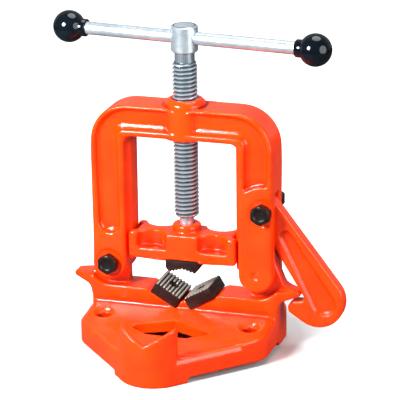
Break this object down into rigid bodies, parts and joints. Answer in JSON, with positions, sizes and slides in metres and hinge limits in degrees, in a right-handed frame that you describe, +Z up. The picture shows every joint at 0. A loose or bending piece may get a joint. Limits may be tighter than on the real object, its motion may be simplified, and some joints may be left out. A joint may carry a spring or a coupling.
{
  "type": "bench yoke pipe vise",
  "caption": "Bench pipe vise with a hinged yoke, latch hook, screw-driven crosshead, toothed jaws in a V seat, and a base plate with pipe rest and bending window.",
  "frame": {"origin": "on the bench face of the base's rear land, straight below the clamping screw", "axes": "+X from the hinge leg to the latch leg, +Y along the pipe towards the back, +Z up along the screw"},
  "size_m": [0.2348, 0.1398, 0.2534],
  "materials": {
    "paint": "glossy orange paint on cast iron",
    "jaw_steel": "dark heat-treated steel",
    "black_steel": "black oxide",
    "plated_steel": "bright zinc plate",
    "knob_plastic": "glossy black phenolic"
  },
  "bodies": {
    "base": {"base_casting": "paint", "lower_jaw_right": "jaw_steel", "lower_jaw_left": "jaw_steel", "lower_jaw_screw_right": "black_steel", "lower_jaw_screw_left": "black_steel"},
    "yoke": {"yoke_casting": "paint", "hinge_bolt": "black_steel", "hinge_spring_washer": "black_steel", "hinge_nut": "black_steel", "latch_bolt": "black_steel", "latch_spring_washer": "black_steel", "latch_nut": "black_steel"},
    "latch": {"latch_hook": "paint"},
    "crosshead": {"crosshead_casting": "paint", "upper_jaw": "jaw_steel", "upper_jaw_screw": "black_steel", "retaining_pin_left": "plated_steel", "retaining_pin_right": "plated_steel"},
    "screw": {"clamp_screw": "plated_steel"},
    "handle": {"handle_bar": "plated_steel", "handle_knob_left": "knob_plastic", "handle_knob_right": "knob_plastic"}
  },
  "joints": [
    {"name": "yoke_swing", "type": "hinge", "parent": "base", "child": "yoke", "pos_m": [-0.0592, 0, 0.06], "axis": [0, -1, 0], "range_deg": [0, 85]},
    {"name": "latch_swing", "type": "hinge", "parent": "yoke", "child": "latch", "pos_m": [0.0645, 0, 0.1115], "axis": [0, -1, 0], "range_deg": [0, 58]},
    {"name": "crosshead_slide", "type": "slide", "parent": "yoke", "child": "crosshead", "axis": [0, 0, 1], "range_m": [-0.016, 0.065]},
    {"name": "screw_turn", "type": "hinge", "parent": "crosshead", "child": "screw", "pos_m": [0, 0, 0.16], "axis": [0, 0, 1], "range_deg": [-1661.5, 7089.2]},
    {"name": "bar_slide", "type": "slide", "parent": "screw", "child": "handle", "axis": [0.9946, -0.1038, 0], "range_m": [-0.0785, 0.0698]}
  ],
  "couplings": [
    {"joint": "crosshead_slide", "follows": "screw_turn", "m_per_rad": 0.00051725}
  ]
}
